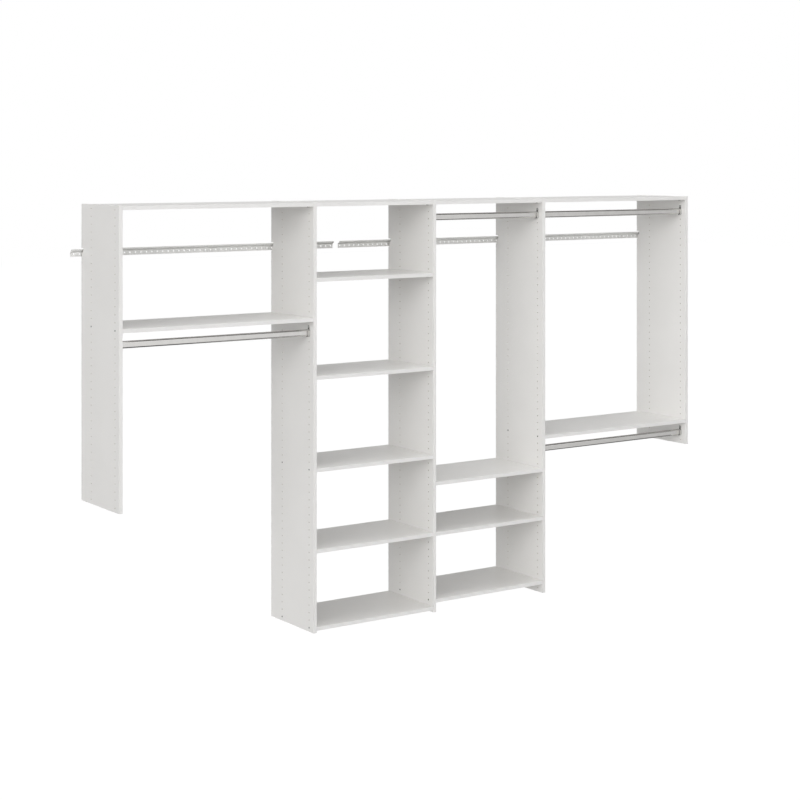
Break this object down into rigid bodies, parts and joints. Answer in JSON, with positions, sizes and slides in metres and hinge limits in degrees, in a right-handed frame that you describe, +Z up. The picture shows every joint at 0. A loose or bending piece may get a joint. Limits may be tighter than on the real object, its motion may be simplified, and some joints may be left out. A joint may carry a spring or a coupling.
{
  "type": "wall hung closet unit",
  "caption": "White wall hung closet unit: line-bored panels hooked on a perforated steel rail, with fixed and adjustable shelves and oval hanging rods in open cups.",
  "frame": {"origin": "middle of the unit's width, on the back face of the right hang rail, at the height of the rail's row of holes", "axes": "+X along the wall to the right, +Y into the wall, +Z up"},
  "size_m": [3.1274, 0.3556, 1.8272],
  "materials": {
    "white_melamine": "white melamine faced particle board, satin",
    "galvanised_steel": "dull galvanised",
    "zinc_plated_steel": "bright zinc plated",
    "nickel_plated_steel": "nickel plated",
    "chrome_plate": "polished chrome plate"
  },
  "bodies": {
    "unit": {"panel_1": "white_melamine", "panel_2": "white_melamine", "panel_3": "white_melamine", "panel_4": "white_melamine", "panel_5": "white_melamine", "bay_1_top_shelf": "white_melamine", "bay_2_top_shelf": "white_melamine", "bay_3_top_shelf": "white_melamine", "bay_4_top_shelf": "white_melamine", "bay_1_fixed_shelf": "white_melamine", "bay_2_fixed_shelf_1": "white_melamine", "bay_2_fixed_shelf_2": "white_melamine", "bay_3_fixed_shelf": "white_melamine", "bay_4_fixed_shelf": "white_melamine", "bay_2_adjustable_shelf_1_pin_front_left": "nickel_plated_steel", "bay_2_adjustable_shelf_1_pin_front_right": "nickel_plated_steel", "bay_2_adjustable_shelf_1_pin_rear_left": "nickel_plated_steel", "bay_2_adjustable_shelf_1_pin_rear_right": "nickel_plated_steel", "bay_2_adjustable_shelf_2_pin_front_left": "nickel_plated_steel", "bay_2_adjustable_shelf_2_pin_front_right": "nickel_plated_steel", "bay_2_adjustable_shelf_2_pin_rear_left": "nickel_plated_steel", "bay_2_adjustable_shelf_2_pin_rear_right": "nickel_plated_steel", "bay_2_adjustable_shelf_3_pin_front_left": "nickel_plated_steel", "bay_2_adjustable_shelf_3_pin_front_right": "nickel_plated_steel", "bay_2_adjustable_shelf_3_pin_rear_left": "nickel_plated_steel", "bay_2_adjustable_shelf_3_pin_rear_right": "nickel_plated_steel", "bay_3_adjustable_shelf_1_pin_front_left": "nickel_plated_steel", "bay_3_adjustable_shelf_1_pin_front_right": "nickel_plated_steel", "bay_3_adjustable_shelf_1_pin_rear_left": "nickel_plated_steel", "bay_3_adjustable_shelf_1_pin_rear_right": "nickel_plated_steel", "bay_3_adjustable_shelf_2_pin_front_left": "nickel_plated_steel", "bay_3_adjustable_shelf_2_pin_front_right": "nickel_plated_steel", "bay_3_adjustable_shelf_2_pin_rear_left": "nickel_plated_steel", "bay_3_adjustable_shelf_2_pin_rear_right": "nickel_plated_steel", "bay_1_rod_cup_left": "chrome_plate", "bay_1_rod_cup_right": "chrome_plate", "bay_3_rod_cup_left": "chrome_plate", "bay_3_rod_cup_right": "chrome_plate", "bay_4_upper_rod_cup_left": "chrome_plate", "bay_4_upper_rod_cup_right": "chrome_plate", "bay_4_lower_rod_cup_left": "chrome_plate", "bay_4_lower_rod_cup_right": "chrome_plate", "hang_rail_left": "galvanised_steel", "hang_rail_right": "galvanised_steel", "hang_bracket_1": "zinc_plated_steel", "hang_bracket_2": "zinc_plated_steel", "hang_bracket_3": "zinc_plated_steel", "hang_bracket_4": "zinc_plated_steel", "hang_bracket_5": "zinc_plated_steel"},
    "bay_2_adjustable_shelf_1": {"bay_2_adjustable_shelf_1": "white_melamine"},
    "bay_2_adjustable_shelf_2": {"bay_2_adjustable_shelf_2": "white_melamine"},
    "bay_2_adjustable_shelf_3": {"bay_2_adjustable_shelf_3": "white_melamine"},
    "bay_3_adjustable_shelf_1": {"bay_3_adjustable_shelf_1": "white_melamine"},
    "bay_3_adjustable_shelf_2": {"bay_3_adjustable_shelf_2": "white_melamine"},
    "bay_1_rod": {"bay_1_rod": "chrome_plate"},
    "bay_3_rod": {"bay_3_rod": "chrome_plate"},
    "bay_4_upper_rod": {"bay_4_upper_rod": "chrome_plate"},
    "bay_4_lower_rod": {"bay_4_lower_rod": "chrome_plate"}
  },
  "joints": [
    {"name": "bay_2_adjustable_shelf_1_lift", "type": "slide", "parent": "unit", "child": "bay_2_adjustable_shelf_1", "axis": [0, 0, 1], "range_m": [0, 0.025]},
    {"name": "bay_2_adjustable_shelf_2_lift", "type": "slide", "parent": "unit", "child": "bay_2_adjustable_shelf_2", "axis": [0, 0, 1], "range_m": [0, 0.025]},
    {"name": "bay_2_adjustable_shelf_3_lift", "type": "slide", "parent": "unit", "child": "bay_2_adjustable_shelf_3", "axis": [0, 0, 1], "range_m": [0, 0.025]},
    {"name": "bay_3_adjustable_shelf_1_lift", "type": "slide", "parent": "unit", "child": "bay_3_adjustable_shelf_1", "axis": [0, 0, 1], "range_m": [0, 0.025]},
    {"name": "bay_3_adjustable_shelf_2_lift", "type": "slide", "parent": "unit", "child": "bay_3_adjustable_shelf_2", "axis": [0, 0, 1], "range_m": [0, 0.025]},
    {"name": "bay_1_rod_lift", "type": "slide", "parent": "unit", "child": "bay_1_rod", "axis": [0, 0, 1], "range_m": [0, 0.028]},
    {"name": "bay_3_rod_lift", "type": "slide", "parent": "unit", "child": "bay_3_rod", "axis": [0, 0, 1], "range_m": [0, 0.028]},
    {"name": "bay_4_upper_rod_lift", "type": "slide", "parent": "unit", "child": "bay_4_upper_rod", "axis": [0, 0, 1], "range_m": [0, 0.028]},
    {"name": "bay_4_lower_rod_lift", "type": "slide", "parent": "unit", "child": "bay_4_lower_rod", "axis": [0, 0, 1], "range_m": [0, 0.028]}
  ]
}
